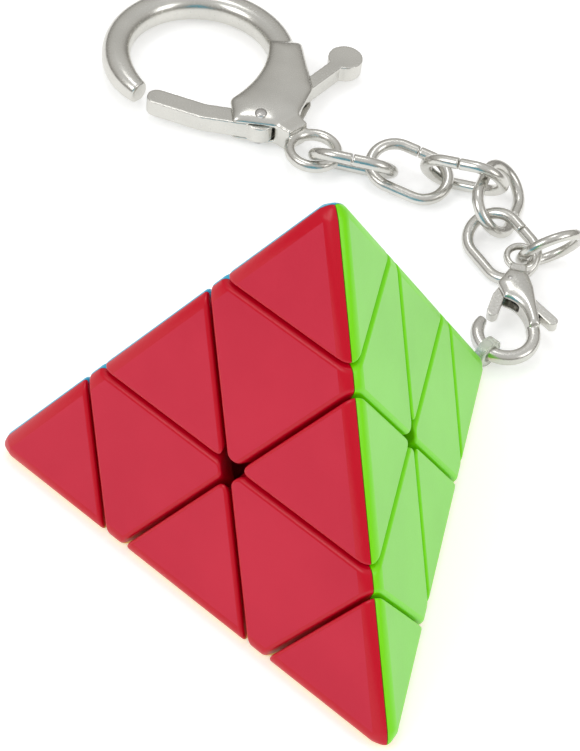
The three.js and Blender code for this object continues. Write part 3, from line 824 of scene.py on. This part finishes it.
def clasp_body(prefix, spec, to_row):
    neck_end = spec["eye_distance"] - spec["eye_radius"]
    w = spec["neck_width"]
    cheeks = object_from(plate(body_outline(spec), spec["body_height"]), prefix + "_cheeks", IDENTITY)
    boolean(cheeks, "DIFFERENCE", slot_tool(spec, prefix + "_slot", IDENTITY))
    apply_modifiers(cheeks)
    whole = bmesh.new()
    whole.from_mesh(cheeks.data)
    bpy.data.objects.remove(cheeks)
    whole = remeshed(whole, spec["voxel"])
    crowned(whole, body_outline(spec), CROWN_RIM, spec["crown_reach"])
    every_way = dict(use_axis_x=True, use_axis_y=True, use_axis_z=True)
    for _ in range(spec["body_softening"]):
        bmesh.ops.smooth_vert(whole, verts=whole.verts[:], factor=0.5, **every_way)
    neck_start = neck_end - w - NECK_OVERLAP
    neck = [(-w, neck_start), (w, neck_start), (0.8 * w, neck_end), (-0.8 * w, neck_end)]
    add_mesh(whole, plate(neck, spec["neck_height"]))
    add_mesh(whole, hook(spec))
    add_mesh(whole, eye(spec))
    piece = object_from(remeshed(whole, spec["voxel"]), f"{prefix}_clasp_body_cast", to_row)
    softened(piece, 14)
    finish_piece(piece, f"{prefix}_clasp", "nickel", f"{prefix}_clasp_body")


def clasp_gate(prefix, spec, to_row):
    pivot = spec["pivot"]
    end = gate_end(spec)
    middle = ((pivot[0] + end[0]) / 2 - spec["gate_bow"], (pivot[1] + end[1]) / 2)
    h = spec["lever_height"]
    whole = plate(disc(pivot, spec["hub_radius"]), h)
    for outline in (
        bar(pivot, middle, spec["gate_width"]),
        bar(middle, end, spec["gate_width"]),
        bar(pivot, spec["lever_end"], spec["lever_width"]),
        disc(spec["lever_end"], spec["pad_radius"]),
    ):
        add_mesh(whole, plate(outline, h))
    piece = object_from(remeshed(whole, spec["voxel"]), f"{prefix}_clasp_gate_cast", to_row)
    softened(piece, 6)
    finish_piece(piece, f"{prefix}_gate", "nickel", f"{prefix}_clasp_gate")


def clasp_rivet(prefix, spec, to_row):
    """A rivet with low domed heads, flush with the cheeks."""
    r, h = spec["rivet_radius"], spec["body_height"]
    profile = [(0, -h), (0.6 * r, -h + 0.03), (0.95 * r, -h + 0.1), (r, -h + 0.2)]
    profile += [(r, h - 0.2), (0.95 * r, h - 0.1), (0.6 * r, h - 0.03), (0, h)]
    bm = lathe(profile, 24)
    bmesh.ops.translate(bm, verts=bm.verts[:], vec=(*spec["pivot"], 0))
    piece = object_from(bm, f"{prefix}_clasp_rivet_turned", to_row)
    finish_piece(piece, f"{prefix}_clasp", "steel", f"{prefix}_clasp_rivet")


def clasp(prefix, spec, to_row):
    clasp_body(prefix, spec, to_row)
    clasp_gate(prefix, spec, to_row)
    clasp_rivet(prefix, spec, to_row)


# ---------------------------------------------------------------- CAD nodes that show


def dress_cad_nodes():
    for name, node in frame["nodes"].items():
        node.data.materials.clear()
        node.data.materials.append(materials[slot_of[name]])
    soften = frame["nodes"]["eyelet"]
    weld = soften.modifiers.new("weld", "WELD")
    weld.merge_threshold = WELD_DISTANCE
    skin = soften.modifiers.new("skin", "REMESH")
    skin.mode = "VOXEL"
    skin.voxel_size = EYELET_VOXEL * MM
    skin.use_smooth_shade = True
    smooth = soften.modifiers.new("soft", "SMOOTH")
    smooth.factor = 0.5
    smooth.iterations = 5


# ---------------------------------------------------------------- stage

CAMERA_PLACE = (0.3357, -3.2152, 3.7598)         # in pyramid edges, from the middle of its base
CAMERA_AHEAD = (-0.0787, 0.6846, -0.7247)
CAMERA_UP = (-0.2178, 0.6976, 0.6826)
SENSOR = 36.0
LENS = 132.1


def camera():
    data = bpy.data.cameras.new("camera")
    data.sensor_width = SENSOR
    data.lens = LENS
    data.clip_start = 0.01
    data.clip_end = 10
    holder = bpy.data.objects.new("camera", data)
    bpy.context.scene.collection.objects.link(holder)
    ahead = Vector(CAMERA_AHEAD).normalized()
    right = ahead.cross(Vector(CAMERA_UP)).normalized()
    turn = Matrix((right, right.cross(ahead), -ahead)).transposed().to_4x4()
    base = Vector((puzzle_centre.x, puzzle_centre.y, 0))
    holder.matrix_world = Matrix.Translation(base + Vector(CAMERA_PLACE) * EDGE * MM) @ turn
    bpy.context.scene.camera = holder


def area_light(name, place, target, size, power):
    data = bpy.data.lights.new(name, "AREA")
    data.shape = "RECTANGLE"
    data.size, data.size_y = size
    data.energy = power
    holder = bpy.data.objects.new(name, data)
    bpy.context.scene.collection.objects.link(holder)
    holder.location = place
    holder.rotation_euler = (Vector(place) - Vector(target)).to_track_quat("Z", "Y").to_euler()


def studio():
    bm = bmesh.new()
    bmesh.ops.create_grid(bm, x_segments=1, y_segments=1, size=900)
    ground = object_from(bm, "floor", Matrix.Scale(MM, 4))
    ground.data.materials.append(floor_white())
    area_light("key", (-0.32, -0.28, 0.42), (0, 0, 0.01), (0.3, 0.3), 0.85)
    area_light("fill", (0.45, -0.12, 0.3), (0, 0, 0.01), (0.25, 0.3), 0.5)
    area_light("top", (-0.1, 0.2, 0.6), (0, 0.02, 0.01), (0.15, 0.2), 0.3)
    world = bpy.data.worlds.new("studio")
    bpy.context.scene.world = world
    world.use_nodes = True
    tree = world.node_tree
    background = tree.nodes["Background"]
    background.inputs["Strength"].default_value = 1.05
    coordinates = tree.nodes.new("ShaderNodeTexCoord")
    parts = tree.nodes.new("ShaderNodeSeparateXYZ")
    ramp = tree.nodes.new("ShaderNodeValToRGB")
    tree.links.new(coordinates.outputs["Generated"], parts.inputs["Vector"])
    tree.links.new(parts.outputs["Z"], ramp.inputs["Fac"])
    tree.links.new(ramp.outputs["Color"], background.inputs["Color"])
    ramp.color_ramp.elements[0].position = 0.0
    ramp.color_ramp.elements[0].color = (0.2, 0.19, 0.175, 1)
    ramp.color_ramp.elements[1].position = 0.95
    ramp.color_ramp.elements[1].color = (0.75, 0.75, 0.75, 1)
    middle = ramp.color_ramp.elements.new(0.5)
    middle.color = (0.62, 0.61, 0.59, 1)
    bpy.context.scene.view_settings.view_transform = "Standard"


dress_cad_nodes()
puzzle()
chain()
clasp("big", BIG_CLASP, lies((-21.2, 54.2, 1.95), (0.587, 0.81, 0), (0, 0, -1)))
clasp("small", SMALL_CLASP, lies((14.63, 25.33, 1.85), (0.9997, 0.025, 0), (0, -0.137, 0.99)))
camera()
studio()
